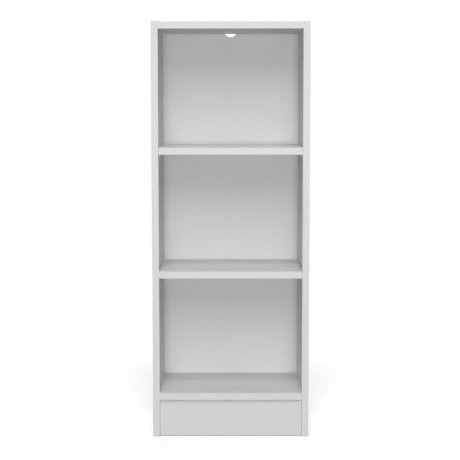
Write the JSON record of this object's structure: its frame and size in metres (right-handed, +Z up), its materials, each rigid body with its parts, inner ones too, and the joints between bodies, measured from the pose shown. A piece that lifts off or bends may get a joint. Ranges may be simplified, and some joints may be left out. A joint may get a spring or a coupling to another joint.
{
  "type": "bookcase",
  "caption": "Narrow low open bookcase with a set-back plinth, loose shelves on bracket supports and a thin folded back in grooves.",
  "frame": {"origin": "on the floor, under the middle of the case", "axes": "+X to the right seen from the front, +Y to the back (the open front faces -Y), +Z up"},
  "size_m": [0.404, 0.268, 1.068],
  "materials": {
    "melamine_board": "chipboard faced with fine satin white melamine, raw at the rear edges",
    "edge_band": "satin white edge banding",
    "back_hardboard": "thin hardboard, raw brown behind",
    "decor_foil": "white lacquered paper foil",
    "die_cast_zinc": "die-cast zinc",
    "zinc_plated_steel": "zinc plated",
    "beech": "plain turned beech"
  },
  "bodies": {
    "case": {"side_panel_left": "melamine_board", "side_panel_right": "melamine_board", "side_front_band_left": "edge_band", "side_front_band_right": "edge_band", "side_top_band_left": "edge_band", "side_top_band_right": "edge_band", "top_panel": "melamine_board", "top_front_band": "edge_band", "bottom_shelf": "melamine_board", "bottom_shelf_band": "edge_band", "plinth": "melamine_board", "back_panel_left": "back_hardboard", "back_panel_right": "back_hardboard", "back_foil": "decor_foil", "back_nails": "zinc_plated_steel", "cam_housings_top": "die_cast_zinc", "cam_housings_bottom": "die_cast_zinc", "cam_bolts_top": "zinc_plated_steel", "cam_bolts_bottom": "zinc_plated_steel", "dowels_top": "beech", "dowels_bottom": "beech", "dowels_plinth": "beech", "shelf_supports_upper": "zinc_plated_steel", "shelf_supports_lower": "zinc_plated_steel"},
    "upper_shelf": {"shelf_upper": "melamine_board", "shelf_upper_band": "edge_band"},
    "lower_shelf": {"shelf_lower": "melamine_board", "shelf_lower_band": "edge_band"}
  },
  "joints": [
    {"name": "upper_shelf_draw", "type": "slide", "parent": "case", "child": "upper_shelf", "axis": [0, -1, 0], "range_m": [0, 0.21]},
    {"name": "lower_shelf_draw", "type": "slide", "parent": "case", "child": "lower_shelf", "axis": [0, -1, 0], "range_m": [0, 0.21]}
  ]
}
